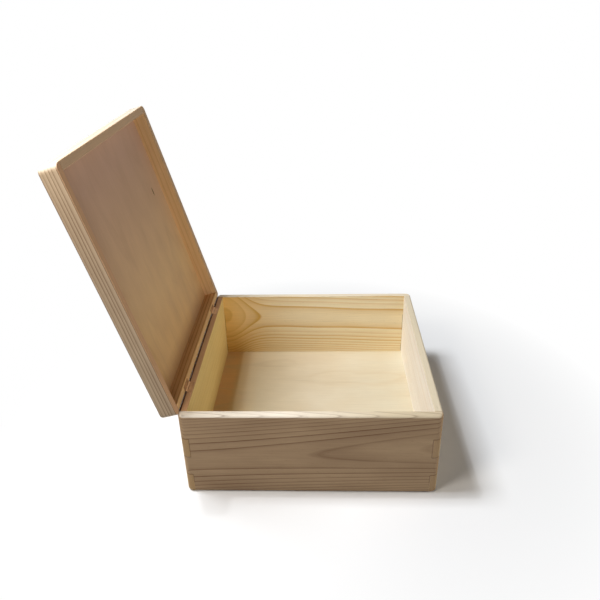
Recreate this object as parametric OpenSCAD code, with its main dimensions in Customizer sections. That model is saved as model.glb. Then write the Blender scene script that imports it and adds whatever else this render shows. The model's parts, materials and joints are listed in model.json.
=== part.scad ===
// Wooden toy box: a finger-jointed carcass with a plywood bottom, and a framed lid with a plywood
// panel, on two small butt hinges let into the rims. It is modelled with the lid open at its stop.
// The front is -Y, the hinges are at the rear (+Y), and the origin is the centre of the base.

/* [Box] */
// Outside width, left to right
box_w = 300; // [160:5:500]
// Outside depth, front to back
box_d = 300; // [120:5:500]
// Height of the lower part
body_h = 114.5; // [70:0.5:300]
// Height of the lid frame
lid_h = 20.5; // [16:0.5:60]
// Thickness of every wall board
wall_t = 9.5; // [8.5:0.5:14]
// Radius of the four upright corners
corner_r = 7; // [5:0.5:8]
// Rounding of the outer edges along the base and the lid top, and of the rear edges of both rims
edge_r = 3; // [1:0.25:4]
// Rounding of all the other edges of both rims
ease_r = 0.8; // [0.4:0.1:1.5]

/* [Corner joints] */
// Height of one finger of the corner joints
finger_h = 27; // [15:1:40]

/* [Bottom panel] */
// Thickness of the plywood bottom
bottom_t = 4; // [3:0.5:6]
// Height of the underside of the bottom above the base
bottom_up = 9.2; // [6:0.1:20]
// How far the bottom runs into the walls
tongue = 5; // [3:0.5:5]
// Room left at the edge of the bottom in its groove
tongue_play = 0.3; // [0.1:0.1:0.5]

/* [Lid panel] */
// Thickness of the plywood lid panel
lid_panel_t = 3; // [2.5:0.5:6]
// Width of the rebate that the lid panel lies in
rebate = 5; // [3:0.5:5.5]
// Room left around the lid panel
panel_play = 0.2; // [0.1:0.1:0.5]

/* [Lid motion] */
// Angle between the closed lid and the lid at its stop
open_angle = 105; // [95:1:120]
// Gap between the rims when the lid is shut
rim_gap = 0.4; // [0.3:0.1:0.8]
// Gap left between the rear edges when the lid is at its stop
stop_gap = 0.3; // [0.2:0.05:0.5]

/* [Hinges] */
// Distance from each side of the box to the middle of its hinge
hinge_from_side = 55; // [35:1:75]
// Length of a hinge
hinge_l = 20; // [16:1:30]
// Width of a leaf, measured from the pin
leaf_w = 6.5; // [6:0.1:7]
// Thickness of a leaf
leaf_t = 0.8; // [0.6:0.1:1]
// Outer radius of the knuckles
knuckle_r = 1.6; // [1.5:0.1:1.9]
// Radius of the pin
pin_r = 0.8; // [0.6:0.05:0.9]
// Running clearance around the pin
pin_play = 0.03; // [0.02:0.01:0.08]
// Gap between neighbouring knuckles
knuckle_gap = 0.2; // [0.1:0.05:0.4]
// Room around the knuckles and leaves in the wood
mortise_play = 0.3; // [0.2:0.05:0.4]

/* [Hinge screws] */
// Distance between the two screws of a leaf
screw_pitch = 11; // [9:0.5:12]
// Radius of a screw's shank
screw_r = 0.8; // [0.6:0.1:0.9]
// Radius of a screw's head
head_r = 1.6; // [1.3:0.1:1.8]
// Length of a screw, with its head and point
screw_l = 8; // [6:0.5:12]
// Clearance around a screw
screw_play = 0.05; // [0.03:0.01:0.1]
// Width of the slot across a screw's head
slot_w = 0.4; // [0.3:0.05:0.6]

/* [Hidden] */
$fn = 48;

over = 1; // how far a cutter runs past the face that it opens
inner_w = box_w - 2 * wall_t;
inner_d = box_d - 2 * wall_t;
lid_z = body_h + rim_gap; // underside of the shut lid

// Corner fingers are counted from the base. Their number is even, so the top ones are always the
// side walls', and they take what is left below the rim.
fingers = 2 * floor((body_h + finger_h / 2) / (2 * finger_h));
function finger_top(i) = i == fingers - 1 ? body_h : (i + 1) * finger_h;

// The rounded rear edges are the stop: the pin stands in from the rear face by just so much
// that the edge of the open lid comes to lie against the edge of the body, stop_gap apart.
half_open = open_angle / 2;
stop_reach = (edge_r + stop_gap / 2 - (edge_r + rim_gap / 2) * cos(half_open)) / sin(half_open);
pin_y = box_d / 2 - edge_r + stop_reach;
pin_z = body_h + rim_gap / 2;
hinge_x = box_w / 2 - hinge_from_side;

knuckle_l = (hinge_l - 2 * knuckle_gap) / 3;
leaf_start = knuckle_r + mortise_play; // from the pin to the near edge of a leaf's plate
leaf_top = rim_gap / 2; // from the pin's level to the outer face of a leaf
knuckle_seat = (3 * pin_r + knuckle_r) / 4; // from the pin to where a leaf's plate ends in a knuckle
screw_y = (leaf_start + leaf_w) / 2;
slot_depth = leaf_t / 2;
point_l = 2 * screw_r;

board_colour = [0.86, 0.72, 0.5];
ply_colour = [0.89, 0.8, 0.65];
hinge_colour = [0.72, 0.68, 0.55];
pin_colour = [0.62, 0.6, 0.55];

// ---- forms that several pieces share ----

// Rectangle on the X axis with its lower corners rounded by low_r and its upper ones by high_r.
module eased_rectangle(width, height, low_r, high_r) {
    translate([-width / 2, low_r]) square([width, height - low_r - high_r]);
    translate([-width / 2 + low_r, 0]) square([width - 2 * low_r, height - high_r]);
    translate([-width / 2 + high_r, low_r]) square([width - 2 * high_r, height - low_r]);
    for (x = [-1, 1]) {
        translate([x * (width / 2 - low_r), low_r]) circle(low_r);
        translate([x * (width / 2 - high_r), height - high_r]) circle(high_r);
    }
}

// Solid block on z = 0 with rounded uprights, and its lower and upper edges rounded by low_r and high_r.
module rounded_block(width, depth, height, low_r, high_r) {
    straight_x = width - 2 * corner_r;
    straight_y = depth - 2 * corner_r;
    rotate([90, 0, 90])
        linear_extrude(straight_x, center = true) eased_rectangle(depth, height, low_r, high_r);
    rotate([90, 0, 0])
        linear_extrude(straight_y, center = true) eased_rectangle(width, height, low_r, high_r);
    for (x = [-1, 1], y = [-1, 1])
        translate([x * straight_x / 2, y * straight_y / 2, 0])
            rotate_extrude()
                intersection() {
                    eased_rectangle(2 * corner_r, height, low_r, high_r);
                    square([corner_r, height]);
                }
}

// What rounding the inner edge of a rim takes away. The rim is at z = 0 and the wood is below.
module rim_easing() {
    mouth_w = inner_w + 2 * ease_r;
    mouth_d = inner_d + 2 * ease_r;
    difference() {
        translate([-mouth_w / 2, -mouth_d / 2, -ease_r]) cube([mouth_w, mouth_d, ease_r + over]);
        for (side = [-1, 1]) {
            translate([0, side * mouth_d / 2, -ease_r])
                rotate([0, 90, 0]) cylinder(r = ease_r, h = mouth_w + 2 * over, center = true);
            translate([side * mouth_w / 2, 0, -ease_r])
                rotate([90, 0, 0]) cylinder(r = ease_r, h = mouth_d + 2 * over, center = true);
        }
    }
}

// What rounding the rear edge of a rim takes away. The rim is at z = 0 and the wood is below.
module swing_rounding() {
    translate([0, box_d / 2 - edge_r, -edge_r]) difference() {
        translate([-box_w / 2 - over, 0, 0]) cube([box_w + 2 * over, edge_r + over, edge_r + over]);
        rotate([0, 90, 0]) cylinder(r = edge_r, h = box_w + 4 * over, center = true);
    }
}

// Flat panel that reaches past the inside of the walls by reach on every side.
module panel(reach, thickness) {
    width = inner_w + 2 * reach;
    depth = inner_d + 2 * reach;
    translate([-width / 2, -depth / 2, 0]) cube([width, depth, thickness]);
}

// Moves its children to both hinges.
module at_hinges() {
    for (x = [-hinge_x, hinge_x]) at_hinge(x) children();
}

// Moves its children to the pin of the hinge at x.
module at_hinge(x) {
    translate([x, pin_y, pin_z]) children();
}

// Swings the shut lid up to its stop.
module opened() {
    translate([0, pin_y, pin_z]) rotate([-open_angle, 0, 0]) translate([0, -pin_y, -pin_z])
        children();
}

// ---- carcass ----

// Raw wall board along X, outer face at y = -offset. It has the fingers of its own parity.
module carcass_board(span, offset, parity) {
    translate([-span / 2 + wall_t, -offset, 0]) cube([span - 2 * wall_t, wall_t, body_h]);
    for (i = [0 : fingers - 1])
        if (i % 2 == parity)
            translate([-span / 2, -offset, i * finger_h])
                cube([span, wall_t, finger_top(i) - i * finger_h]);
}

// Finishes a raw carcass board: outer rounding, eased rim and the groove for the bottom.
module carcass_wall() {
    difference() {
        intersection() {
            rounded_block(box_w, box_d, body_h, edge_r, ease_r);
            children();
        }
        translate([0, 0, body_h]) rim_easing();
        translate([0, 0, body_h]) swing_rounding();
        translate([0, 0, bottom_up]) panel(tongue + tongue_play, bottom_t);
    }
}

module front_wall() {
    color(board_colour) carcass_wall() carcass_board(box_w, box_d / 2, 0);
}

module rear_wall() {
    color(board_colour) difference() {
        carcass_wall() rotate([0, 0, 180]) carcass_board(box_w, box_d / 2, 0);
        at_hinges() mortise();
    }
}

module left_wall() {
    color(board_colour) carcass_wall() rotate([0, 0, -90]) carcass_board(box_d, box_w / 2, 1);
}

module right_wall() {
    color(board_colour) carcass_wall() rotate([0, 0, 90]) carcass_board(box_d, box_w / 2, 1);
}

module bottom_panel() {
    color(ply_colour) translate([0, 0, bottom_up]) panel(tongue, bottom_t);
}

// ---- lid, drawn shut and then swung open ----

// Finishes a raw lid board, given on z = 0: outer rounding, eased rim and the panel's rebate.
module lid_wall() {
    translate([0, 0, lid_z]) difference() {
        intersection() {
            rounded_block(box_w, box_d, lid_h, ease_r, edge_r);
            children();
        }
        mirror([0, 0, 1]) rim_easing();
        mirror([0, 0, 1]) swing_rounding();
        translate([0, 0, lid_h - lid_panel_t]) panel(rebate, lid_panel_t + over);
    }
}

// The front and rear boards of the lid stand between its side boards.
module lid_cross_board() {
    translate([-inner_w / 2, -box_d / 2, 0]) cube([inner_w, wall_t, lid_h]);
}

// The side boards of the lid run its whole depth.
module lid_side_board() {
    translate([-box_w / 2, -box_d / 2, 0]) cube([wall_t, box_d, lid_h]);
}

module lid_front_wall() {
    color(board_colour) opened() lid_wall() lid_cross_board();
}

module lid_rear_wall() {
    color(board_colour) opened() difference() {
        lid_wall() mirror([0, 1, 0]) lid_cross_board();
        at_hinges() mirror([0, 0, 1]) mortise();
    }
}

module lid_left_wall() {
    color(board_colour) opened() lid_wall() lid_side_board();
}

module lid_right_wall() {
    color(board_colour) opened() lid_wall() mirror([1, 0, 0]) lid_side_board();
}

module lid_panel() {
    color(ply_colour) opened()
        translate([0, 0, lid_z + lid_h - lid_panel_t]) panel(rebate - panel_play, lid_panel_t);
}

// ---- hinges, drawn round the pin: X along the pin, -Y into the box, the body's half below ----

// Cylinder along the pin, centred at x.
module along_pin(radius, length, x = 0) {
    translate([x, 0, 0]) rotate([0, 90, 0]) cylinder(r = radius, h = length, center = true);
}

// What one wall loses for its leaf, the knuckles and the screws.
module mortise() {
    pocket_l = hinge_l + 2 * mortise_play;
    along_pin(knuckle_r + mortise_play, pocket_l);
    translate([-pocket_l / 2, -leaf_w - mortise_play, -leaf_top - leaf_t])
        cube([pocket_l, leaf_w + mortise_play, leaf_t + leaf_top + over]);
    for (x = [-1, 1])
        translate([x * screw_pitch / 2, -screw_y, -leaf_top - screw_l - screw_play])
            cylinder(r = screw_r + screw_play, h = screw_l);
}

// A leaf of the body's half, with knuckles of its own at the places in the list.
module leaf(knuckles) {
    difference() {
        union() {
            translate([-hinge_l / 2, -leaf_w, -leaf_top - leaf_t])
                cube([hinge_l, leaf_w - leaf_start, leaf_t]);
            for (place = knuckles) {
                x = place * (knuckle_l + knuckle_gap);
                along_pin(knuckle_r, knuckle_l, x);
                translate([x - knuckle_l / 2, -leaf_start, -leaf_top - leaf_t])
                    cube([knuckle_l, leaf_start - knuckle_seat, leaf_t]);
            }
        }
        along_pin(pin_r + pin_play, hinge_l + 2 * over);
        for (x = [-1, 1])
            translate([x * screw_pitch / 2, -screw_y, -leaf_top - leaf_t])
                cylinder(r1 = screw_r + screw_play, r2 = head_r + screw_play, h = leaf_t);
    }
}

module body_leaf(x) {
    color(hinge_colour) at_hinge(x) leaf([-1, 1]);
}

module lid_leaf(x) {
    color(hinge_colour) opened() at_hinge(x) mirror([0, 0, 1]) leaf([0]);
}

module hinge_pin(x) {
    color(pin_colour) at_hinge(x) along_pin(pin_r, hinge_l);
}

// Countersunk wood screw with its head's face at z = 0, pointing down.
module screw() {
    difference() {
        union() {
            translate([0, 0, -leaf_t]) cylinder(r1 = screw_r, r2 = head_r, h = leaf_t);
            translate([0, 0, -screw_l + point_l]) cylinder(r = screw_r, h = screw_l - leaf_t - point_l);
            translate([0, 0, -screw_l]) cylinder(r1 = screw_r / 4, r2 = screw_r, h = point_l);
        }
        translate([-head_r, -slot_w / 2, -slot_depth]) cube([2 * head_r, slot_w, slot_depth + over]);
    }
}

module leaf_screws() {
    for (x = [-1, 1])
        translate([x * screw_pitch / 2, -screw_y, -leaf_top]) screw();
}

module body_hinge_screws() {
    color(hinge_colour) at_hinges() leaf_screws();
}

module lid_hinge_screws() {
    color(hinge_colour) opened() at_hinges() mirror([0, 0, 1]) leaf_screws();
}

front_wall();
rear_wall();
left_wall();
right_wall();
bottom_panel();
lid_front_wall();
lid_rear_wall();
lid_left_wall();
lid_right_wall();
lid_panel();
body_leaf(-hinge_x);  // left_hinge_body_leaf
lid_leaf(-hinge_x);  // left_hinge_lid_leaf
hinge_pin(-hinge_x);  // left_hinge_pin
body_leaf(hinge_x);  // right_hinge_body_leaf
lid_leaf(hinge_x);  // right_hinge_lid_leaf
hinge_pin(hinge_x);  // right_hinge_pin
body_hinge_screws();
lid_hinge_screws();
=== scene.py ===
"""A wooden toy box with its lid open: finger-jointed pine boards, plywood panels, small butt hinges.

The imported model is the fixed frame, in metres, with the origin at the centre of the base, +Z up
and the hinges at +Y. The box's sizes below are in millimetres, and the studio's are in metres.
"""

import sys
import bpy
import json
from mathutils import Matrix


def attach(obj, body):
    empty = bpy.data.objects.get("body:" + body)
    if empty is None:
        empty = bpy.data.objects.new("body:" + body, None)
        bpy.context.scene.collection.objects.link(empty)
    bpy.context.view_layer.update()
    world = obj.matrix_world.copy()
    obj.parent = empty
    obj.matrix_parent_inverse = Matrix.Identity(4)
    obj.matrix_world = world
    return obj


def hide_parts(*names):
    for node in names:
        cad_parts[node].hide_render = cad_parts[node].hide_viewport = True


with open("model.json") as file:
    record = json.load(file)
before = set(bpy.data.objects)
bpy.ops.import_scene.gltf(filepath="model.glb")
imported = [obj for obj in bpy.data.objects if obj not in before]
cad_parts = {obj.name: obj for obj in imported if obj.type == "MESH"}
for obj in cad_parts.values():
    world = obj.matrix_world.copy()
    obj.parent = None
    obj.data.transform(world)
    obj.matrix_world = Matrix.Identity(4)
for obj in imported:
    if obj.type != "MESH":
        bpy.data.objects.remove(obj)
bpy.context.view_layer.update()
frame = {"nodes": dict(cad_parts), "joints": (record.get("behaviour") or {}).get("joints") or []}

import json
import logging
import math
from dataclasses import dataclass
from enum import Enum

import bmesh
import bpy
import numpy as np
from mathutils import Matrix

MM = 0.001
ARC_STEPS = 8
TINY = 1e-6
# The box's main sizes, and the height of one corner finger.
WIDTH, WALL = 300.0, 9.5
INSIDE = WIDTH - 2 * WALL
BOX_HIGH, RIM_GAP = 114.5, 0.4
FINGER = 27.0
JOINT = frame["joints"][0]
PIN = np.array(JOINT["pos_m"]) / MM
OPEN_ANGLE = math.radians(JOINT["range_deg"][1])
log = logging.getLogger("toy_box")

Object, Material = bpy.types.Object, bpy.types.Material
Tree, Node, Socket = bpy.types.NodeTree, bpy.types.Node, bpy.types.NodeSocket
Place = tuple[Socket, Socket, Socket]
Triple = tuple[float, float, float]
Value = Node | Socket | tuple[float, ...] | float


class Slot(Enum):
    """The record's material slots for the wood. The hinges keep the slots that they have."""

    PINE = "pine"
    PLYWOOD = "plywood"


class Body(Enum):
    """The two bodies that the hinge pin joins."""

    BOX = "box"
    LID = "lid"


class Run(Enum):
    """Direction that a board's grain runs in, while the lid is shut."""

    ACROSS = (1.0, 0.0, 0.0)
    DEEP = (0.0, -1.0, 0.0)


class Side(Enum):
    """Which wall a board is: its turn about Z, its grain, and the x and y where its own place is 0."""

    FRONT = (0, Run.ACROSS, (0.0, -INSIDE / 2))
    RIGHT = (90, Run.DEEP, (INSIDE / 2, 0.0))
    REAR = (180, Run.ACROSS, (0.0, INSIDE / 2))
    LEFT = (-90, Run.DEEP, (-WIDTH / 2, 0.0))


# ---- surfaces ----


def linear(code: str) -> tuple[float, ...]:
    """Turns an sRGB hex colour into linear light.

    Args:
        code: six hex digits.

    Returns:
        Linear red, green, blue and an alpha of 1.
    """
    part = np.array([int(code[i : i + 2], 16) for i in (0, 2, 4)]) / 255
    light = np.where(part <= 0.04045, part / 12.92, ((part + 0.055) / 1.055) ** 2.4)
    return (*(float(value) for value in light), 1.0)


def swing(points: np.ndarray, angle: float = -OPEN_ANGLE) -> np.ndarray:
    """Turns points about the hinge pin: y' = y cos a - z sin a and z' = y sin a + z cos a.

    Args:
        points: places in millimetres, in the last axis.
        angle: turn about +X in radians, which opens the lid by default.

    Returns:
        The turned places.
    """
    cosine, sine = math.cos(angle), math.sin(angle)
    turn = np.array([[1, 0, 0], [0, cosine, -sine], [0, sine, cosine]])
    return (points - PIN) @ turn.T + PIN


def closed_surface(name: str, loops: np.ndarray) -> Object:
    """Makes a closed surface through a stack of closed loops.

    Point (i, j) of the surface is point j of loop i. A face joins (i, j), (i, j+1), (i+1, j+1) and
    (i+1, j), and the first and last loops are filled. Points equal to four decimals become one, a
    face that loses a side becomes a triangle, and a face with no width goes.

    Args:
        name: the object's name.
        loops: places in millimetres, as loops by points by three.

    Returns:
        The new object, with its faces outwards.
    """
    rows, columns = loops.shape[:2]
    keys = np.round(loops.reshape(-1, 3), 4)
    places, index = np.unique(keys, axis=0, return_inverse=True)
    index = index.reshape(rows, columns)
    ahead = np.roll(index, -1, axis=1)
    quads = np.stack([index[:-1], ahead[:-1], ahead[1:], index[1:]], axis=-1).reshape(-1, 4)
    twin = quads == np.roll(quads, -1, axis=1)
    flat = (quads[:, 0] == quads[:, 2]) | (quads[:, 1] == quads[:, 3])
    whole = quads[(twin.sum(axis=1) == 0) & ~flat]
    short = (twin.sum(axis=1) == 1) & ~flat
    corners = quads[short][~twin[short]].reshape(-1, 3)
    caps = [list(dict.fromkeys(index[0, ::-1].tolist())), list(dict.fromkeys(index[-1].tolist()))]
    mesh = bpy.data.meshes.new(name)
    mesh.from_pydata((places * MM).tolist(), [], whole.tolist() + corners.tolist() + caps)
    made = bmesh.new()
    made.from_mesh(mesh)
    if made.calc_volume(signed=True) < 0:
        bmesh.ops.reverse_faces(made, faces=made.faces)
    made.to_mesh(mesh)
    made.free()
    piece = bpy.data.objects.new(name, mesh)
    bpy.context.scene.collection.objects.link(piece)
    return piece


def smooth(piece: Object, crease: float = 30.0) -> None:
    """Shades roundings smoothly, keeps edges sharper than crease degrees, and flats stay flat.

    Args:
        piece: the object to shade.
        crease: the angle in degrees from which an edge stays sharp.
    """
    piece.data.shade_smooth()
    piece.data.set_sharp_from_angle(angle=math.radians(crease))
    weigh = piece.modifiers.new("flats_stay_flat", "WEIGHTED_NORMAL")
    weigh.keep_sharp = True


def cut(piece: Object, tools: list[Object]) -> None:
    """Cuts each tool's shape out of a piece, and deletes the tools.

    Args:
        piece: the object to cut.
        tools: closed objects whose space is taken away.
    """
    for tool in tools:
        step = piece.modifiers.new("cut", "BOOLEAN")
        step.operation, step.solver, step.object = "DIFFERENCE", "EXACT", tool
    shaped = piece.evaluated_get(bpy.context.evaluated_depsgraph_get())
    mesh = bpy.data.meshes.new_from_object(shaped)
    # The cut drops faces with no area, so the seams that they closed are filled again.
    whole = bmesh.new()
    whole.from_mesh(mesh)
    bmesh.ops.holes_fill(whole, edges=[edge for edge in whole.edges if edge.is_boundary])
    whole.to_mesh(mesh)
    whole.free()
    piece.modifiers.clear()
    piece.data = mesh
    for tool in tools:
        bpy.data.objects.remove(tool)


@dataclass(frozen=True)
class Board:
    """One wall board, drawn as a front board and turned to its side.

    Its corner fingers are the spans of height where it runs the full length of its side. In the
    others it stops at the inside of its neighbours, and the shoulders are the levels between. The
    outer edge is rounded by edge at the base or lid top and by rim_edge at the rim, whose inner
    edge is only eased. The recess is a groove or rebate: its low and high level, and its depth.
    """

    side: Side
    height: float
    fingers: tuple[tuple[float, float], ...]
    shoulders: tuple[float, ...] = ()
    recess: Triple = (0.0, 0.0, 0.0)
    rim_is_low: bool = False
    base: float = 0.0
    length: float = WIDTH
    thickness: float = WALL
    corner: float = 7.0
    edge: float = 3.0
    ease: float = 0.8
    rim_edge: float = 0.8
    seam_wide: float = 0.3
    seam_deep: float = 0.6

    def heights(self) -> tuple[np.ndarray, np.ndarray]:
        """Lists the levels at which the board's outline is worked out.

        The outline changes smoothly between two shoulders and jumps at each, so a shoulder is
        listed twice.

        Returns:
            The level's height, and a height inside the span that it belongs to.
        """
        arc = 1 - np.cos(np.linspace(0, math.pi / 2, ARC_STEPS + 1))
        stops = sorted({0.0, self.height, *self.shoulders, *self.recess[:2]})
        stops = [stop for stop in stops if stop <= self.height]
        seams = np.array([[stop - self.seam_deep, stop + self.seam_deep] for stop in stops]).ravel()
        ends = np.concatenate([self.edge * arc, self.ease * arc, self.rim_edge * arc])
        marks = np.concatenate([ends, self.height - ends, seams])
        levels, middles = [], []
        for low, high in zip(stops[:-1], stops[1:]):
            inside = marks[(marks > low + TINY) & (marks < high - TINY)]
            span = np.unique(np.round(np.concatenate([[low], inside, [high]]), 6))
            levels.append(span)
            middles.append(np.full(len(span), (low + high) / 2))
        return np.concatenate(levels), np.concatenate(middles)

    def loops(self) -> np.ndarray:
        """Works out the board's outline at every level.

        An edge of radius r draws the outline in by r - sqrt(r^2 - (r - h)^2) at a height h from
        the end. A corner arc of radius q runs through (q cos a, q sin a) about its centre. At a
        seam the edge falls back by seam_wide, which fades in a straight line over seam_deep. The
        rear edge of the rim is rounded straight across the box by edge, so that the lid can swing.

        Returns:
            Places in millimetres, as levels by points by three, before the lid is opened.
        """
        z, middle = self.heights()
        near_end = np.minimum(z, self.height - z)

        def rounding(radius: float, height: np.ndarray) -> np.ndarray:
            """Gives how far an edge of that radius draws in at that height from the end."""
            return radius - np.sqrt(radius**2 - np.clip(radius - height, 0, radius) ** 2)

        def seam(distance: np.ndarray) -> np.ndarray:
            """Gives how far an edge falls back at that distance from a seam."""
            return self.seam_wide * np.clip(1 - distance / self.seam_deep, 0, 1)

        full = np.zeros(len(z), bool)
        for low, high in self.fingers:
            full |= (middle > low) & (middle < high)
        end, joint = self.length / 2, self.length / 2 - self.thickness
        to_rim = z if self.rim_is_low else self.height - z
        eased = rounding(self.ease, to_rim)
        outer = rounding(self.edge, self.height - to_rim) + rounding(self.rim_edge, to_rim)
        low, high, depth = self.recess
        inner = self.thickness - np.where((middle > low) & (middle < high), depth, eased)
        gap = np.full(len(z), self.seam_deep)
        for shoulder in self.shoulders:
            gap = np.minimum(gap, np.abs(z - shoulder))
        notch = np.where(full, seam(gap), 0)
        slit = seam(near_end)
        reach = np.where(full, joint + self.thickness - inner, joint - slit)
        tip = end - outer - notch
        back = self.thickness - slit
        radius = np.where(full, self.corner - outer - notch, self.seam_wide)
        turn_s = np.where(full, end - self.corner, joint - slit - self.seam_wide)
        turn_t = np.where(full, self.corner, outer + self.seam_wide)
        angle = np.linspace(0, math.pi / 2, ARC_STEPS + 1)
        along = [reach, reach, np.where(full, tip - self.seam_wide, reach), np.where(full, tip, reach)]
        into = [inner, np.where(full, back, inner), np.where(full, back, inner)]
        into.append(np.where(full, back - self.seam_wide, inner))
        along += [turn_s + radius * math.cos(a) for a in angle]
        into += [turn_t - radius * math.sin(a) for a in angle]
        along += [np.where(full, joint, turn_s)] * 2
        into += [outer + notch, outer]
        half = np.stack([np.stack(along, 1), np.stack(into, 1)], axis=-1)
        loop = np.concatenate([half, half[:, ::-1] * [-1, 1]], axis=1)[:, ::-1]
        s, t = loop[..., 0], loop[..., 1] - end
        turn = math.radians(self.side.value[0])
        x, y = s * math.cos(turn) - t * math.sin(turn), s * math.sin(turn) + t * math.cos(turn)
        y = np.minimum(y, end - rounding(self.edge, to_rim)[:, None])
        return np.stack([x, y, np.broadcast_to(z[:, None] + self.base, x.shape)], axis=-1)

    def make(self, node: str, wood: "Pine", body: Body, hinges: "Hinges") -> None:
        """Makes the board and dresses it. The lid's boards are swung open, and a rear one is cut.

        Args:
            node: the CAD node that it stands for.
            wood: its finish.
            body: the body that carries it.
            hinges: the hinges that are let into the rear boards.
        """
        swung = body is Body.LID
        loops = swing(self.loops()) if swung else self.loops()
        piece = closed_surface(f"{node}_board", loops)
        if self.side is Side.REAR:
            cut(piece, hinges.pockets(node, up=swung))
        run, (x, y) = self.side.value[1:]
        dress(piece, wood.material(run, (x, y, self.base), swung), node, body)


def slab_loops(half: float, low: float, high: float, edge: float) -> np.ndarray:
    """Works out the loops of a flat square panel with chamfered edges.

    The outline is a square whose corners are arcs of twice the chamfer. It is drawn in by the
    chamfer at both faces.

    Args:
        half: half the width.
        low: height of the underside.
        high: height of the top.
        edge: size of the chamfer.

    Returns:
        Places in millimetres, as four loops by points by three.
    """
    angle = np.linspace(0, 2 * math.pi, 4 * ARC_STEPS, endpoint=False) + math.pi / (4 * ARC_STEPS)
    sign = np.stack([np.sign(np.cos(angle)), np.sign(np.sin(angle))], axis=1)
    loops = []
    arc = np.stack([np.cos(angle), np.sin(angle)], axis=1)
    for inset, level in ((edge, low), (0, low + edge), (0, high - edge), (edge, high)):
        flat = sign * (half - 2 * edge) + (2 * edge - inset) * arc
        loops.append(np.column_stack([flat, np.full(len(flat), level)]))
    return np.array(loops)


# ---- finishes ----

COORD, MAPPING, SPLIT = "ShaderNodeTexCoord", "ShaderNodeMapping", "ShaderNodeSeparateXYZ"
JOIN, MATHS, VECTOR = "ShaderNodeCombineXYZ", "ShaderNodeMath", "ShaderNodeVectorMath"
NOISE, WHITE, RAMP = "ShaderNodeTexNoise", "ShaderNodeTexWhiteNoise", "ShaderNodeValToRGB"
MIX, RANGE, BUMP = "ShaderNodeMix", "ShaderNodeMapRange", "ShaderNodeBump"
# The second colour is dark brown: painted shade in the hinge crevice on the rear rims, and the plywood's
# gum mark.
END_GRAIN, GUM_AND_PAINTED_SHADE, GLUE = "C2A07A", "4A260E", "5E3C26"
GLOSS, WOOD_GLOSS = "Specular IOR Level", 0.08

# The setting that says what a node works out. Other kinds have an operation.
MODES = {MIX: "data_type", NOISE: "noise_dimensions", WHITE: "noise_dimensions", MAPPING: "vector_type"}

# Inputs by number. NOISE takes 0 place, 1 seed or place in 1D, 2 scale, 3 detail, 4 roughness, and
# WHITE takes the first two. MAPPING takes 0 place, 1 shift, 2 turn, 3 scale.


def feed(tree: Tree, node: Node, inputs: dict) -> None:
    """Sets or links a node's inputs.

    Args:
        tree: the node tree.
        node: the node to feed.
        inputs: values, sockets or nodes by input name or number. A node stands for its first
            output in use.
    """
    for key, value in inputs.items():
        if isinstance(value, Node):
            value = next(output for output in value.outputs if output.enabled)
        if isinstance(value, Socket):
            tree.links.new(value, node.inputs[key])
        else:
            node.inputs[key].default_value = value


def add(tree: Tree, kind: str, inputs: dict, mode: str | None = None) -> Node:
    """Adds a shader node with its settings and links.

    Args:
        tree: the node tree.
        kind: the node's type name.
        inputs: what feeds it, as feed takes it.
        mode: what the node works out, such as its operation.

    Returns:
        The new node.
    """
    made = tree.nodes.new(kind)
    if mode:
        setattr(made, MODES.get(kind, "operation"), mode)
    feed(tree, made, inputs)
    return made


def maths(tree: Tree, operation: str, *values: Value, clamp: bool = False) -> Node:
    """Adds arithmetic on one to three values.

    Args:
        tree: the node tree.
        operation: what to work out. MULTIPLY_ADD is the first times the second, plus the third.
        values: the values in order.
        clamp: true to keep the result from 0 to 1.

    Returns:
        The new node.
    """
    made = add(tree, MATHS, dict(enumerate(values)), operation)
    made.use_clamp = clamp
    return made


def remap(tree: Tree, value: Value, low: float, high: float, start: float = 0.0, end: float = 1.0) -> Node:
    """Adds a value that goes from start to end while another goes from low to high, and no further.

    Args:
        tree: the node tree.
        value: the other value.
        low: the other's first level.
        high: the other's last level, which may be below low.
        start: the result at low.
        end: the result at high.

    Returns:
        The new node.
    """
    return add(tree, RANGE, {0: value, 1: low, 2: high, 3: start, 4: end})


def mix(tree: Tree, share: Node, first: Value, second: Value) -> Node:
    """Adds a mix of two colours.

    Args:
        tree: the node tree.
        share: how much there is of the second, from 0 to 1.
        first: a colour.
        second: another colour.

    Returns:
        The new node.
    """
    return add(tree, MIX, {0: share, 6: first, 7: second}, "RGBA")


def set_stops(ramp: Node, stops: list[tuple[float, float | tuple[float, ...]]]) -> Node:
    """Sets a ramp's stops.

    Args:
        ramp: the ramp node.
        stops: places from 0 to 1, each with a grey value or a linear colour.

    Returns:
        The same node.
    """
    elements = ramp.color_ramp.elements
    while len(elements) < len(stops):
        elements.new(0.5)
    for element, (place, tone) in zip(elements, stops):
        element.position = place
        element.color = tone if isinstance(tone, tuple) else (tone, tone, tone, 1)
    return ramp


def blank(name: str) -> tuple[Material, Tree, Node]:
    """Makes a material with a Principled shader at its defaults.

    Args:
        name: the material's name.

    Returns:
        The material, its node tree and its shader.
    """
    material = bpy.data.materials.new(name)
    material.use_nodes = True
    tree = material.node_tree
    shader = next(node for node in tree.nodes if node.type == "BSDF_PRINCIPLED")
    return material, tree, shader


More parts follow.
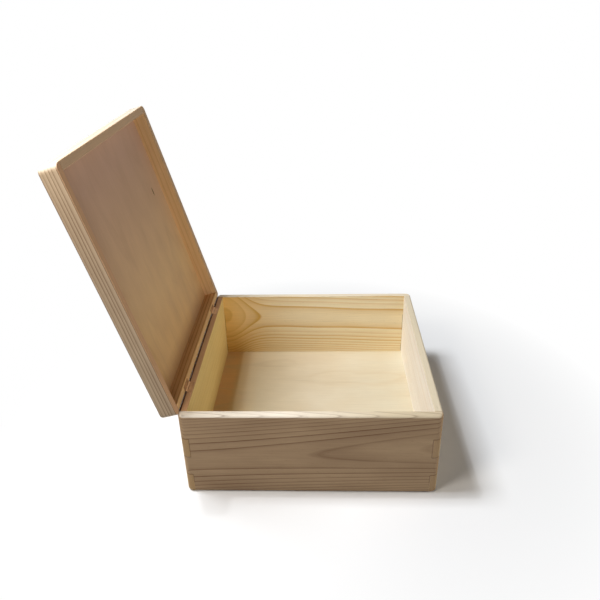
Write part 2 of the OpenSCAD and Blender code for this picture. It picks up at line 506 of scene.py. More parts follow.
def board_place(tree: Tree, run: Run, start: Triple, swung: bool) -> tuple[Node, list, Node]:
    """Adds the mapping from object coordinates to a board's own millimetres.

    The board's first axis is along the grain, its second is up its width and its third is out of
    its face. With the axes as rows M and the start o, a place p becomes M (p - o). On the open lid
    p is first turned back about the pin.

    Args:
        tree: the node tree.
        run: direction of the grain.
        start: place where all three board coordinates are 0, in millimetres, with the lid shut.
        swung: true for a board of the lid.

    Returns:
        The node with the object coordinates, the rotation, and the node with the board's own.
    """
    along, up = np.array(run.value), np.array([0.0, 0.0, 1.0])
    axes = np.array([along, up, np.cross(along, up)])
    shift = -axes @ np.array(start)
    if swung:
        shut = swing(np.eye(3) + PIN, OPEN_ANGLE) - PIN
        shift = shift + axes @ (PIN - shut.T @ PIN)
        axes = axes @ shut.T
    turn = list(Matrix(axes.tolist()).to_euler("XYZ"))
    coord = add(tree, COORD, {})
    inputs = {0: coord.outputs["Object"], 1: shift.tolist(), 2: turn, 3: (1 / MM,) * 3}
    return coord, turn, add(tree, MAPPING, inputs)


def near(tree: Tree, place: Value, level: float, full: float, none: float, most: float = 1.0) -> Node:
    """Adds how near a coordinate is to a level: most up to one distance, fading to 0 at another.

    Args:
        tree: the node tree.
        place: the coordinate.
        level: where the value is highest.
        full: distance up to which the value stays at most.
        none: distance from which the value is 0.
        most: the highest value.

    Returns:
        The node with the value.
    """
    off = maths(tree, "SUBTRACT", place, level)
    off = maths(tree, "ABSOLUTE", off)
    return remap(tree, off, full, none, most, 0.0)


@dataclass(frozen=True)
class Figure:
    """A noise in the wood, with its size in millimetres along, across and through the board."""

    size: Triple
    detail: float = 0.0
    rough: float = 0.5
    other_seed: float = 0.0

    def draw(self, tree: Tree, board: Node, seed: float) -> Node:
        """Adds the noise, at the place divided by the size.

        Args:
            tree: the node tree.
            board: the place in the board's own millimetres.
            seed: the board's own number, to which other_seed is added.

        Returns:
            The node with the noise.
        """
        scaled = add(tree, VECTOR, {0: board, 1: [1 / size for size in self.size]}, "MULTIPLY")
        inputs = {0: scaled, 1: seed + self.other_seed, 2: 1.0, 3: self.detail, 4: self.rough}
        return add(tree, NOISE, inputs, "4D")


# Fibres are drawn one to two millimetres wide and ducts half a millimetre, so that they show.
PINE_DRIFT, PINE_PATCH = Figure((130, 42, 42), 3.0), Figure((110, 30, 30), 2.0, other_seed=7)
PINE_FIBRE, PINE_DUCT = Figure((55, 1.1, 1.1), 4.0, 0.6), Figure((6, 0.55, 0.55))
PLY_CLOUD, PLY_PATCH = Figure((190, 40, 60), 2.0), Figure((85, 45, 45), 3.0, other_seed=3)
PLY_FIBRE = Figure((38, 1.6, 1.6), 3.0, 0.6)


@dataclass(frozen=True)
class Pine:
    """Sanded bare pine, sawn from a log whose growth rings run through the board.

    The rings are shells about a pith line that lies behind the face, leans and bows. Each year adds
    the same area of wood, so at a distance d from the pith the rings are spread / (2 d) apart. Where
    the pith line nears the face the rings show as nested arches, and elsewhere as near-straight lines.
    """

    name: str
    # Each board's early colour is partly the wood's tone and partly painted light and shade on its seen
    # face.
    early: str
    late: str
    seed: float
    spread: float = 450.0
    pith_up: float = 57.0
    lean_up: float = 0.0
    pith_deep: float = 35.0
    lean_deep: float = 0.0
    bow: float = 0.0
    phase: float = 0.0
    wander: float = 1.0
    uneven: float = 0.3
    swell: float = 0.0
    swell_at: float = 0.0
    swell_long: float = 45.0
    faintest: float = 0.4
    faint_below: float = -1.0
    inmost_loss: float = 0.75
    branch_loss: float = 0.35
    contrast: float = 1.0
    sharp: float = 5.0
    blotch: float = 0.3
    fleck: float = 0.5
    # The rim colour is partly the sawn edge's tone and partly painted light and shade. Where a second rim
    # colour is given, the rim fades into it over a span along the grain, as a painted highlight.
    rim: str = "D8B48C"
    rim_painted_fade_to: str | None = None
    rim_painted_fade_span: tuple[float, float] = (-40.0, 90.0)
    rim_faint: float = 0.6
    ends: str = END_GRAIN
    other_side: str | None = None
    other_from: tuple[float, float] = (3.0, 7.0)
    resin: str = "FCD488"
    resin_fade: float = 0.35
    # The level of a rim's rear edge that gets painted shade for the hinge crevice, and how strong that
    # painted shade is.
    crevice_shade_at: float | None = None
    crevice_shade_strength: float = 0.85
    fingers: bool = False

    def material(self, run: Run, start: Triple, swung: bool) -> Material:
        """Builds the material for one board.

        Args:
            run: direction of the grain.
            start: place where the board's own coordinates are 0.
            swung: true for a board of the lid.

        Returns:
            The material.
        """
        material, tree, shader = blank(self.name)
        coord, turn, board = board_place(tree, run, start, swung)
        place = tuple(add(tree, SPLIT, {0: board}).outputs)
        slope = add(tree, MAPPING, {0: coord.outputs["Normal"], 2: turn}, "NORMAL")
        slope = tuple(add(tree, SPLIT, {0: slope}).outputs)
        # The rim faces up, or on the lid faces down while that is shut.
        way = -1 if swung else 1
        rim = remap(tree, slope[1], 0.1 * way, 0.4 * way)
        late, bell = self.rings(tree, board, place)
        patch = PINE_PATCH.draw(tree, board, self.seed)
        patch = remap(tree, patch, 0.35, 0.75, 0.0, self.blotch)
        amount = maths(tree, "MULTIPLY_ADD", late, self.contrast, patch, clamp=True)
        faint = maths(tree, "MULTIPLY_ADD", rim, -self.rim_faint, 1.0)
        amount = maths(tree, "MULTIPLY", amount, faint)
        pale = self.earlywood(tree, place[0], rim, bell)
        colour = mix(tree, amount, pale, linear(self.late))
        if self.other_side:
            # The seen face's early colour carries painted light and shade as well as the wood's tone. The
            # board's other side is tinted by the ratio of its tone to the early wood.
            low, high = self.other_from
            through = maths(tree, "ABSOLUTE", place[2])
            through = remap(tree, through, low, high)
            face = maths(tree, "SUBTRACT", 1.0, rim)
            through = maths(tree, "MULTIPLY", through, face)
            change = np.array(linear(self.other_side)[:3]) / np.array(linear(self.early)[:3]) - 1
            tint = add(tree, VECTOR, {0: through, 1: change.tolist(), 2: (1, 1, 1)}, "MULTIPLY_ADD")
            colour = add(tree, VECTOR, {0: colour, 1: tint}, "MULTIPLY")

        # End grain has a tone of its own. It is where a surface faces along the board. The darker ends of
        # the box's front and rear boards are also painted shade, and the pale ends of the lid's left board
        # are a painted highlight on its corners.
        end = maths(tree, "ABSOLUTE", slope[0])
        end = remap(tree, end, 0.3, 0.8, 0.0, 0.95)
        colour = mix(tree, end, colour, linear(self.ends))
        fibre = PINE_FIBRE.draw(tree, board, self.seed)
        rough = remap(tree, fibre, 0.2, 0.8, 0.5, 0.62)
        if self.crevice_shade_at is not None:
            # The rear edge of a rim, about 3 mm of it each way, gets painted shade for the hinge crevice:
            # it is painted dark brown, and made rougher.
            mark = near(tree, place[1], self.crevice_shade_at, full=3.0, none=3.6, most=self.crevice_shade_strength)
            back = remap(tree, place[2], -6.2, -6.9)
            mark = maths(tree, "MULTIPLY", mark, back)
            rough = maths(tree, "MULTIPLY_ADD", mark, 0.5, rough, clamp=True)
            colour = mix(tree, mark, colour, linear(GUM_AND_PAINTED_SHADE))
        if self.fingers:
            colour = self.glued(tree, colour, place, run)

        # Fine lines along the grain lighten and darken it, and the ducts are short dark flecks.
        duct = PINE_DUCT.draw(tree, board, self.seed)
        duct = remap(tree, duct, 0.7, 0.82, 0.0, self.fleck)
        light = remap(tree, fibre, 0.25, 0.75, 0.9, 1.08)
        light = maths(tree, "MULTIPLY_ADD", duct, -0.35, light)
        colour = add(tree, VECTOR, {0: colour, "Scale": light}, "SCALE")

        # Sanded latewood stands a little proud, and the fibres leave a fine tooth.
        relief = maths(tree, "MULTIPLY_ADD", fibre, 0.6, late)
        bump = add(tree, BUMP, {"Strength": 0.35, "Distance": 0.00012, "Height": relief})
        feed(tree, shader, {"Base Color": colour, "Normal": bump, "Roughness": rough, GLOSS: WOOD_GLOSS})
        return material

    def rings(self, tree: Tree, board: Node, place: Place) -> tuple[Node, Node | None]:
        """Adds the growth rings: year = d^2 / spread + phase, at a distance d from the pith line.

        A slow noise pushes the distance about. A branch near the end of the board, swell high,
        pushes the rings outwards in a bell shape, e^-(x^2).

        Args:
            tree: the node tree.
            board: the place in the board's own millimetres.
            place: its three numbers: along the grain, up the width and out of the face.

        Returns:
            How much latewood there is, and the branch's bell where there is one.
        """
        u, v, w = place
        drift = PINE_DRIFT.draw(tree, board, self.seed)
        drift = remap(tree, drift, 0.0, 1.0, -self.wander, self.wander)
        up = maths(tree, "MULTIPLY_ADD", u, -self.lean_up, v)
        up = maths(tree, "SUBTRACT", up, self.pith_up)
        lean = maths(tree, "MULTIPLY_ADD", u, self.bow, self.lean_deep)
        deep = maths(tree, "MULTIPLY_ADD", u, lean, w)
        deep = maths(tree, "ADD", deep, self.pith_deep)
        reach = add(tree, VECTOR, {0: add(tree, JOIN, {0: up, 1: deep})}, "LENGTH")
        reach = maths(tree, "ADD", reach, drift)
        bell = None
        if self.swell:
            off = maths(tree, "SUBTRACT", u, self.swell_at)
            off = maths(tree, "DIVIDE", off, self.swell_long)
            off = maths(tree, "MULTIPLY", off, off)
            off = maths(tree, "MULTIPLY", off, -1.0)
            bell = maths(tree, "EXPONENT", off)
            reach = maths(tree, "MULTIPLY_ADD", bell, -self.swell, reach)
        area = maths(tree, "MULTIPLY", reach, reach)
        years = maths(tree, "MULTIPLY_ADD", area, 1 / self.spread, self.phase)
        # A noise moves the years' edges a little, so that their widths differ.
        width = add(tree, NOISE, {1: years, 2: 0.55, 3: 0.0}, "1D")
        width = remap(tree, width, 0.0, 1.0, -self.uneven, self.uneven)
        years = maths(tree, "ADD", years, width)
        season = maths(tree, "FRACT", years)
        year = maths(tree, "FLOOR", years)

        # Some years' lines are fainter, and so are the inmost ones and those round a branch.
        strength = add(tree, WHITE, {1: year}, "1D")
        strength = maths(tree, "MULTIPLY_ADD", strength, 1 - self.faintest, self.faintest)
        inmost = maths(tree, "LESS_THAN", year, self.faint_below)
        inmost = maths(tree, "MULTIPLY_ADD", inmost, -self.inmost_loss, 1.0)
        strength = maths(tree, "MULTIPLY", strength, inmost)
        if bell:
            calm = maths(tree, "MULTIPLY_ADD", bell, -self.branch_loss, 1.0)
            strength = maths(tree, "MULTIPLY", strength, calm)

        # Latewood darkens slowly towards the end of the year's growth and stops at once.
        band = 1 / self.sharp
        rise = [(1 - 2.4 * band, 0.08), (1 - band, 0.4), (0.95, 1.0)]
        late = set_stops(add(tree, RAMP, {0: season}), [(0.0, 0.35), (0.05, 0.0), *rise, (1.0, 0.5)])
        return maths(tree, "MULTIPLY", late, strength), bell

    def earlywood(self, tree: Tree, along: Socket, rim: Node, bell: Node | None) -> Node:
        """Adds the pale wood's colour: resin round a branch, and another tone on the rim, which is partly
        painted light and shade.

        Args:
            tree: the node tree.
            along: the place along the grain, over which the rim's painted highlight fades from its first
                colour into its second.
            rim: 1 on the rim and 0 elsewhere.
            bell: the branch's bell shape, if there is one.

        Returns:
            The colour.
        """
        pale, sawn = linear(self.early), linear(self.rim)
        if bell:
            rich = maths(tree, "POWER", bell, self.resin_fade)
            pale = mix(tree, rich, pale, linear(self.resin))
        # Painted highlight: the rim fades along the board from its first colour into its second.
        if self.rim_painted_fade_to:
            low, high = self.rim_painted_fade_span
            far = remap(tree, along, low, high)
            sawn = mix(tree, far, sawn, linear(self.rim_painted_fade_to))
        return mix(tree, rim, pale, sawn)

    def glued(self, tree: Tree, colour: Node, place: Place, run: Run) -> Node:
        """Darkens the glue lines, where the fingers of two boards meet.

        Beyond the joint a line lies at each finger's level. Along the joint it stands upright where
        this board stops short. The lines fade out half a finger above the base, and half a finger
        above the third finger.

        Args:
            tree: the node tree.
            colour: the colour so far.
            place: the place in the board's own millimetres.
            run: direction of the grain, which tells whether the first finger is this board's.

        Returns:
            The colour.
        """
        joint = INSIDE / 2
        off = maths(tree, "ABSOLUTE", place[0])
        row = maths(tree, "PINGPONG", place[1], FINGER / 2)
        row = remap(tree, row, 0.3, 0.8, 1.0, 0.0)
        beyond = remap(tree, off, joint - 0.6, joint - 0.1)
        row = maths(tree, "MULTIPLY", row, beyond)
        edge = near(tree, off, joint, full=0.4, none=0.9)
        span = maths(tree, "MODULO", place[1], 2 * FINGER)
        order = "LESS_THAN" if run is Run.DEEP else "GREATER_THAN"
        span = maths(tree, order, span, FINGER)
        edge = maths(tree, "MULTIPLY", edge, span)
        seam = maths(tree, "MAXIMUM", row, edge)
        middle = near(tree, place[1], 2 * FINGER, full=1.4 * FINGER, none=1.5 * FINGER, most=0.6)
        seam = maths(tree, "MULTIPLY", seam, middle)
        return mix(tree, seam, colour, linear(GLUE))


@dataclass(frozen=True)
class Plywood:
    """Sanded birch plywood: a rotary-cut face, pale, with long cloudy figure and faint streaks.

    Its colour drifts along the grain, from the hinge edge to the front edge, partly as tone and partly as
    painted light and shade, and it may have a gum mark.
    """

    name: str
    dark: str
    seed: float
    tones_and_painted_light: tuple[tuple[float, str], ...]
    other_side: str
    figure: float = 0.6
    streak: float = 0.25
    slices: float = 5.0
    mark: tuple[float, float] | None = None
    mark_size: tuple[float, float] = (5.5, 1.2)

    def material(self, start: Triple, swung: bool) -> Material:
        """Builds the material for one panel, with its face grain running front to back.

        Args:
            start: place where the panel's own coordinates are 0.
            swung: true for the lid's panel.

        Returns:
            The material.
        """
        material, tree, shader = blank(self.name)
        board = board_place(tree, Run.DEEP, start, swung)[2]
        u, v, w = add(tree, SPLIT, {0: board}).outputs

        # Figure: a slow height field, and the veneer knife's slices through it as soft bands.
        cloud = PLY_CLOUD.draw(tree, board, self.seed)
        bands = maths(tree, "MULTIPLY", cloud, self.slices)
        bands = add(tree, RAMP, {0: maths(tree, "FRACT", bands)})
        set_stops(bands, [(0.0, 0.5), (0.12, 0.0), (0.7, 0.15), (0.96, 0.9), (1.0, 0.5)])
        patch = PLY_PATCH.draw(tree, board, self.seed)
        patch = remap(tree, patch, 0.3, 0.75, 0.0, self.figure)
        amount = maths(tree, "MULTIPLY_ADD", bands, self.streak, patch, clamp=True)

        # The colour stops' places along the grain, from -WIDTH / 2 to WIDTH / 2, fill the ramp from 0 to
        # 1. Some stops are painted light and shade, as noted at the panels.
        pale = add(tree, RAMP, {0: remap(tree, u, -WIDTH / 2, WIDTH / 2)})
        set_stops(pale, [((at + WIDTH / 2) / WIDTH, linear(tone)) for at, tone in self.tones_and_painted_light])
        through = maths(tree, "ABSOLUTE", v)
        through = remap(tree, through, 1.0, 1.4)
        pale = mix(tree, through, pale, linear(self.other_side))
        colour = mix(tree, amount, pale, linear(self.dark))
        if self.mark:
            # A gum mark is a thin ellipse along the grain.
            off = add(tree, JOIN, {0: u, 1: w})
            off = add(tree, VECTOR, {0: off, 1: (*self.mark, 0.0)}, "SUBTRACT")
            shrink = (1 / self.mark_size[0], 1 / self.mark_size[1], 0.0)
            off = add(tree, VECTOR, {0: off, 1: shrink}, "MULTIPLY")
            off = add(tree, VECTOR, {0: off}, "LENGTH")
            gum = remap(tree, off, 0.7, 1.2, 1.0, 0.0)
            gum = maths(tree, "SUBTRACT", gum, through, clamp=True)
            colour = mix(tree, gum, colour, linear(GUM_AND_PAINTED_SHADE))
        fibre = PLY_FIBRE.draw(tree, board, self.seed)
        light = remap(tree, fibre, 0.25, 0.75, 0.95, 1.04)
        colour = add(tree, VECTOR, {0: colour, "Scale": light}, "SCALE")
        bump = add(tree, BUMP, {"Strength": 0.25, "Distance": 0.0001, "Height": fibre})
        feed(tree, shader, {"Base Color": colour, "Normal": bump, "Roughness": 0.55, GLOSS: WOOD_GLOSS})
        return material


@dataclass(frozen=True)
class HingeSteel:
    """Satin steel, rolled and plated or drawn as wire: metallic, a little cloudy, with fine lines.

    The cells are how many of a noise's steps go to a metre.
    """

    name: str
    bright: str
    dull: str
    rough: float
    line_cells: Triple = (90.0, 4000.0, 4000.0)
    cloud_cells: float = 260.0

    def material(self) -> Material:
        """Builds the material, with its fine lines along X, about a quarter of a millimetre apart.

        Returns:
            The material.
        """
        material, tree, shader = blank(self.name)
        coord = add(tree, COORD, {})
        lines = add(tree, VECTOR, {0: coord.outputs["Object"], 1: self.line_cells}, "MULTIPLY")
        lines = add(tree, NOISE, {0: lines, 2: 1.0, 3: 2.0})
        cloud = add(tree, NOISE, {0: coord.outputs["Object"], 2: self.cloud_cells, 3: 3.0})
        colour = mix(tree, cloud, linear(self.dull), linear(self.bright))
        rough = remap(tree, lines, 0.3, 0.7, self.rough - 0.06, self.rough + 0.1)
        bump = add(tree, BUMP, {"Strength": 0.2, "Distance": 0.00002, "Height": lines})
        feed(tree, shader, {"Base Color": colour, "Normal": bump, "Roughness": rough, "Metallic": 1.0})
        return material


def dress(piece: Object, material: Material, node: str, body: Body) -> None:
    """Shades a new piece, gives it its material and its body, and hides the CAD node that it replaces.

    Args:
        piece: the new piece.
        material: its finish.
        node: the CAD node that it stands for.
        body: the body that carries it.
    """
    smooth(piece)
    piece.data.materials.append(material)
    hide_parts(node)
    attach(piece, body.value)
    log.info("%s: %d faces, rides on %s", piece.name, len(piece.data.polygons), body.value)


# ---- sub-assemblies ----


@dataclass
class Hinges:
    """The two butt hinges: where they sit in the rims, and their finish.

    The pin lies rim_drop off each rim. A pocket has play round the leaf, and its tool ends past the
    pin by the distance over, so that it cuts clean. The knuckle is given by its radius.
    """

    centres: tuple[float, float] = (-95.0, 95.0)
    length: float = 20.0
    leaf_wide: float = 6.5
    leaf_thick: float = 0.8
    knuckle: float = 1.6
    play: float = 0.3
    rim_drop: float = RIM_GAP / 2
    over: float = 1.5
    plating: HingeSteel = HingeSteel("aged_brass_plate", "B88E62", "8C6848", 0.42)
    wire: HingeSteel = HingeSteel("drawn_steel_wire", "B8B2A6", "8F8A80", 0.32)

    def pockets(self, name: str, up: bool) -> list[Object]:
        """Makes the shapes that a wall loses for its leaves and knuckles.

        The profile across the pin is a flat pocket for the leaf that runs into an arc of
        (r cos a, r sin a) about the pin, and it is carried straight along the pin.

        Args:
            name: start of the tools' names.
            up: true for the lid's half, whose pockets face the other way.

        Returns:
            One closed object for each hinge.
        """
        radius, floor = self.knuckle + self.play, -self.rim_drop - self.leaf_thick
        first = math.pi + math.asin(-floor / radius)
        angle = np.linspace(first, 2 * math.pi, 2 * ARC_STEPS)
        arc = radius * np.stack([np.cos(angle), np.sin(angle)], axis=1)
        reach = -self.leaf_wide - self.play
        profile = np.vstack([[reach, self.over], [reach, floor], arc, [radius, self.over]])
        half = self.length / 2 + self.play
        tools = []
        for number, centre in enumerate(self.centres):
            x = centre + np.array([[-half], [half]]) * np.ones(len(profile))
            loops = np.dstack([x, np.broadcast_to(profile, (2, *profile.shape))])
            if up:
                loops[..., 2] *= -1
            loops = loops + [0, PIN[1], PIN[2]]
            tools.append(closed_surface(f"{name}_{number}", swing(loops) if up else loops))
        return tools

    def finish(self) -> None:
        """Dresses the leaves, the pins and the screws, which keep their own shapes."""
        plate, wire = self.plating.material(), self.wire.material()
        for name, node in frame["nodes"].items():
            if "hinge" not in name:
                continue
            node.data.materials.clear()
            node.data.materials.append(wire if name.endswith("pin") else plate)
            log.info("%s: carried over, finished as %s", name, node.data.materials[0].name)


@dataclass
class Carcass:
    """The lower part: four finger-jointed boards and a plywood bottom in a groove."""

    height: float = BOX_HIGH
    bottom_low: float = 9.2
    bottom_thick: float = 4.0
    tongue: float = 5.0
    tongue_play: float = 0.3
    bottom_edge: float = 0.1
    rim_edge: float = 3.0

    def build(self, hinges: Hinges) -> None:
        """Builds and dresses the boards and the bottom.

        Args:
            hinges: the hinges that are let into the rear wall.
        """
        steps = [0.0, FINGER, 2 * FINGER, 3 * FINGER, self.height]
        spans = list(zip(steps[:-1], steps[1:]))
        groove = (self.bottom_low, self.bottom_low + self.bottom_thick, self.tongue + self.tongue_play)
        for side, wood in BOX_WOOD.items():
            fingers = tuple(spans[1::2] if side.value[1] is Run.DEEP else spans[::2])
            shoulders = tuple(steps[1:-1])
            board = Board(side, self.height, fingers, shoulders, groove, rim_edge=self.rim_edge)
            board.make(f"{side.name.lower()}_wall", wood, Body.BOX, hinges)
        reach = INSIDE / 2 + self.tongue
        loops = slab_loops(reach, groove[0], groove[1], self.bottom_edge)
        piece = closed_surface("bottom_plywood", loops)
        ply = BOTTOM_PLY.material((0, 0, groove[1]), swung=False)
        dress(piece, ply, "bottom_panel", Body.BOX)


@dataclass
class Lid:
    """The lid: a shallow frame with a thin plywood panel in a rebate, built shut and swung open."""

    underside: float = BOX_HIGH + RIM_GAP
    height: float = 20.5
    panel_thick: float = 3.0
    rebate: float = 5.0
    panel_play: float = 0.2
    panel_edge: float = 0.25

    def build(self, hinges: Hinges) -> None:
        """Builds and dresses the frame boards and the panel.

        Args:
            hinges: the hinges that are let into the rear board.
        """
        low, ledge = self.underside, self.height - self.panel_thick
        recess = (ledge, self.height, self.rebate)
        for side, wood in LID_WOOD.items():
            fingers = ((0.0, self.height),) if side.value[1] is Run.DEEP else ()
            board = Board(side, self.height, fingers, (), recess, rim_is_low=True, base=low)
            board.make(f"lid_{side.name.lower()}_wall", wood, Body.LID, hinges)
        reach = INSIDE / 2 + self.rebate - self.panel_play
        loops = slab_loops(reach, low + ledge, low + self.height, self.panel_edge)
        piece = closed_surface("lid_plywood", swing(loops))
        ply = LID_PLY.material((0, 0, low + ledge), swung=True)
        dress(piece, ply, "lid_panel", Body.LID)


# The boards' cuts. A log's pith lies pith_deep from the board's place 0, against its third axis.
# The box's seen faces are partly the wood's tone and partly painted light and shade: the left board's
# darker outer face is painted shade, the front and right boards' near-white inner faces are painted light,
# the rear board's deep yellow inner face is painted bounce light and its darker rim is painted shade, and
# the left board's rim is a painted highlight.
BOX_WOOD = {
    Side.LEFT: Pine(
        "pine_left", "BCA080", "6C4A34", 1.3, spread=446.0, pith_up=58.2, lean_up=0.07, pith_deep=43.0,
        lean_deep=-0.03, bow=-0.0001, phase=0.874, wander=0.5, uneven=0.0, sharp=8.0, contrast=0.85,
        rim_faint=0.4, rim="FBF0DE", rim_painted_fade_to="D7C7A9", faint_below=4.0, fingers=True, other_side="E6CFA8",
    ),
    Side.RIGHT: Pine(
        "pine_right", "FCF0D0", "DAAE58", 2.1, spread=440.0, pith_up=77.8, lean_up=-0.034, phase=0.438,
        wander=1.4, uneven=0.0, swell=21.6, swell_at=-140.0, swell_long=35.0, sharp=3.2, blotch=0.1,
        rim="EBDFC8", fingers=True, other_side="EBD3A6",
    ),
    Side.FRONT: Pine(
        "pine_front", "F9F4EA", "EADCC6", 3.7, spread=1400.0, pith_up=140.0, pith_deep=50.5, contrast=0.5,
        rim="DACCB0", ends="B4946E", fingers=True, other_side="E8D2AC",
    ),
    Side.REAR: Pine(
        "pine_rear", "EFD794", "DFBE78", 4.4, spread=2670.0, pith_up=-60.0, pith_deep=120.0, contrast=0.4,
        rim="CA9B72", ends="B4946E", crevice_shade_at=BOX_HIGH, fingers=True, other_side="E8CC9A",
    ),
}
# The lid's seen faces likewise: the left board's darker outer face is painted shade, its orange rim is
# painted bounce light, and the rear board's paler inner face is painted light.
LID_WOOD = {
    Side.LEFT: Pine(
        "pine_lid_left", "C8B296", "71513A", 5.2, spread=610.0, pith_up=-70.0, pith_deep=20.0,
        contrast=1.1, rim="E6B88E", ends="EADFCE", other_side="E0C49A",
    ),
    Side.RIGHT: Pine(
        "pine_lid_right", "F6D09A", "D0A064", 6.8, spread=1200.0, pith_up=90.0, pith_deep=50.0,
        contrast=0.45, other_side="E8CFA2",
    ),
    Side.FRONT: Pine(
        "pine_lid_front", "E4D9C8", "C8AE8C", 7.5, spread=1080.0, pith_up=80.0, pith_deep=60.0,
        contrast=0.6, rim="E4C09A",
    ),
    Side.REAR: Pine(
        "pine_lid_rear", "E8BE88", "B8844E", 8.3, spread=720.0, pith_up=-50.0, pith_deep=40.0,
        rim="F0C68C", crevice_shade_at=0.0, other_side="E6C898",
    ),
}
# On the bottom, the amber stops by the rear wall are painted warm bounce light in the strip there that
# lies in shade.
BOTTOM_PLY = Plywood(
    "birch_ply_bottom", "D0BC9A", 1.7,
    ((-122, "F4C690"), (-112, "E2C596"), (-80, "E0D0AE"), (-5, "E3D6BC"), (110, "D9D1BA")), "DCC8A2",
)
# On the lid panel, the dark stop at the hinge edge is painted shade beside the rear board, and the yellow
# stops next to it are painted bounce light.
LID_PLY = Plywood(
    "birch_ply_lid", "C69E7C", 9.1,
    ((-140, "CC9E68"), (-116, "F0C88E"), (-60, "F5D09A"), (110, "DFB9A0")), "EBCFA6",
    figure=0.4, streak=0.15, mark=(44.4, -104.4),
)


# ---- studio ----


@dataclass(frozen=True)
class Softbox:
    """One rectangular lamp that looks at the box."""

    name: str
    azimuth: float
    elevation: float
    distance: float
    size: tuple[float, float]
    watts: float
    colour: str = "FFFFFF"

    def hang(self, target: Triple) -> None:
        """Adds the lamp to the scene.

        Its place is the target plus distance times (cos e cos a, cos e sin a, sin e).

        Args:
            target: the point that it faces, in metres.
        """
        a, e = math.radians(self.azimuth), math.radians(self.elevation)
        away = np.array([math.cos(e) * math.cos(a), math.cos(e) * math.sin(a), math.sin(e)])
        lamp = bpy.data.lights.new(self.name, "AREA")
        lamp.shape, lamp.size, lamp.size_y = "RECTANGLE", *self.size
        lamp.energy, lamp.color = self.watts, linear(self.colour)[:3]
        holder = bpy.data.objects.new(self.name, lamp)
        bpy.context.scene.collection.objects.link(holder)
        place = np.array(target) + self.distance * away
        holder.matrix_world = look(place, -away, 0.0)


def look(place: np.ndarray, forward: np.ndarray, roll: float) -> Matrix:
    """Works out the pose of a lamp or camera, which look along their own -Z.

    Right is forward x up, up is right x forward, and both then turn by roll about forward.

    Args:
        place: where it stands, in metres.
        forward: unit direction in which it looks.
        roll: turn about that direction in radians.

    Returns:
        The world matrix.
    """
    right = np.cross(forward, [0, 0, 1])
    right = right / np.linalg.norm(right) if np.linalg.norm(right) > TINY else np.array([1.0, 0, 0])
    up = np.cross(right, forward)
    side = right * math.cos(roll) + up * math.sin(roll)
    top = up * math.cos(roll) - right * math.sin(roll)
    pose = np.eye(4)
    pose[:3, :4] = np.column_stack([side, top, -forward, place])
    return Matrix(pose.tolist())


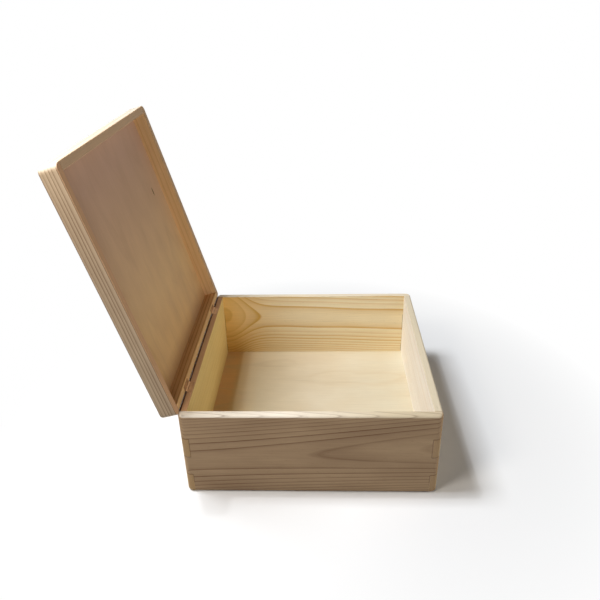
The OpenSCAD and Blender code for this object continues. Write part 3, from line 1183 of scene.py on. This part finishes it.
@dataclass
class Studio:
    """A plain pale floor, a white surround, soft lamps and the camera.

    The floor lies floor_drop under the box. It is paper to the light and paper_seen to the eye, and
    it fades to white between the two distances of fade.
    """

    camera_place: Triple = (-0.674615, -0.016689, 0.538772)
    heading: float = 2.59
    dip: float = 27.82
    roll: float = -1.58
    lens: float = 35.578
    sensor: float = 36.0
    clip: tuple[float, float] = (0.01, 50.0)
    ambient: float = 0.04
    sky: str = "FFF7EC"
    paper: str = "A8A6A2"
    paper_seen: str = "F6F6F6"
    floor_half: float = 8.0
    floor_drop: float = 0.0003
    fade: tuple[float, float] = (0.23, 0.44)
    aim: Triple = (0.0, 0.0, 0.1)
    lamps: tuple[Softbox, ...] = (
        Softbox("main_softbox", 90.0, 64.0, 2.0, (0.5, 0.6), 31.5, "F4F9FF"),
        Softbox("top_lamp", 90.0, 68.6, 2.0, (0.03, 0.03), 4.8, "F4F9FF"),
        Softbox("side_lamp", 139.8, 43.6, 0.813, (0.2, 0.2), 2.2, "FFF7EC"),
        Softbox("front_fill", -90.0, 18.0, 2.0, (0.4, 0.4), 6.8, "FFF7EC"),
        Softbox("low_fill", 195.0, 10.0, 2.0, (0.4, 0.4), 6.0, "F8FAFF"),
        Softbox("far_fill", 0.0, 18.0, 2.0, (0.4, 0.4), 1.2, "FFF7EC"),
    )

    def camera(self) -> None:
        """Adds the camera."""
        heading, dip = math.radians(self.heading), math.radians(self.dip)
        level = math.cos(dip)
        forward = np.array([level * math.cos(heading), level * math.sin(heading), -math.sin(dip)])
        data = bpy.data.cameras.new("camera")
        data.lens, data.sensor_width = self.lens, self.sensor
        data.clip_start, data.clip_end = self.clip
        camera = bpy.data.objects.new("camera", data)
        bpy.context.scene.collection.objects.link(camera)
        camera.matrix_world = look(np.array(self.camera_place), forward, math.radians(self.roll))
        bpy.context.scene.camera = camera

    def seen(self, tree: Tree) -> Node:
        """Adds a value of 1 for what the camera sees, itself or through metal or glass, and else 0.

        Args:
            tree: the node tree.

        Returns:
            The node with the value.
        """
        ray = add(tree, "ShaderNodeLightPath", {}).outputs
        both = maths(tree, "MAXIMUM", ray["Is Camera Ray"], ray["Is Glossy Ray"])
        return maths(tree, "MAXIMUM", both, ray["Is Transmission Ray"])

    def surround(self) -> None:
        """Sets the world: white to the camera and in reflections, a dim even light otherwise."""
        world = bpy.data.worlds.new("surround")
        bpy.context.scene.world = world
        world.use_nodes = True
        tree = world.node_tree
        tree.nodes.clear()
        seen = self.seen(tree)
        strength = remap(tree, seen, 0.0, 1.0, self.ambient, 1.0)
        tone = mix(tree, seen, linear(self.sky), linear("FFFFFF"))
        light = add(tree, "ShaderNodeBackground", {0: tone, 1: strength})
        add(tree, "ShaderNodeOutputWorld", {0: light})

    def floor(self) -> None:
        """Adds the floor: pale matt paper that fades into the white surround away from the box."""
        corner = self.floor_half * np.array([[-1, -1], [1, -1], [1, 1], [-1, 1]])
        places = np.column_stack([corner, np.full(len(corner), -self.floor_drop)])
        mesh = bpy.data.meshes.new("floor")
        mesh.from_pydata(places.tolist(), [], [[0, 1, 2, 3]])
        piece = bpy.data.objects.new("floor", mesh)
        bpy.context.scene.collection.objects.link(piece)
        material, tree, shader = blank("matt_paper")
        seen = self.seen(tree)
        tone = mix(tree, seen, linear(self.paper), linear(self.paper_seen))
        feed(tree, shader, {"Base Color": tone, "Roughness": 0.9, GLOSS: 0.0})
        near_edge, far_edge = self.fade
        far = add(tree, VECTOR, {0: add(tree, COORD, {}).outputs["Object"]}, "LENGTH")
        far = remap(tree, far, near_edge, far_edge)
        far = maths(tree, "MULTIPLY", far, seen)
        white = add(tree, "ShaderNodeEmission", {0: (1, 1, 1, 1), 1: 1.0})
        both = add(tree, "ShaderNodeMixShader", {0: far, 1: shader, 2: white})
        output = next(node for node in tree.nodes if node.type == "OUTPUT_MATERIAL")
        feed(tree, output, {"Surface": both})
        mesh.materials.append(material)

    def build(self) -> None:
        """Builds the camera, the surround, the floor and the lamps."""
        self.camera()
        self.surround()
        self.floor()
        for lamp in self.lamps:
            lamp.hang(self.aim)
            log.info("%s: %.0f W", lamp.name, lamp.watts)
        view = bpy.context.scene.view_settings
        view.view_transform = "Standard"


def main() -> None:
    """Builds the studio and then the toy box, one sub-assembly after the other."""
    logging.basicConfig(level=logging.INFO, format="%(name)s %(message)s", stream=sys.stdout)
    Studio().build()
    hinges = Hinges()
    hinges.finish()
    Carcass().build(hinges)
    Lid().build(hinges)


if __name__ == "__main__":
    main()
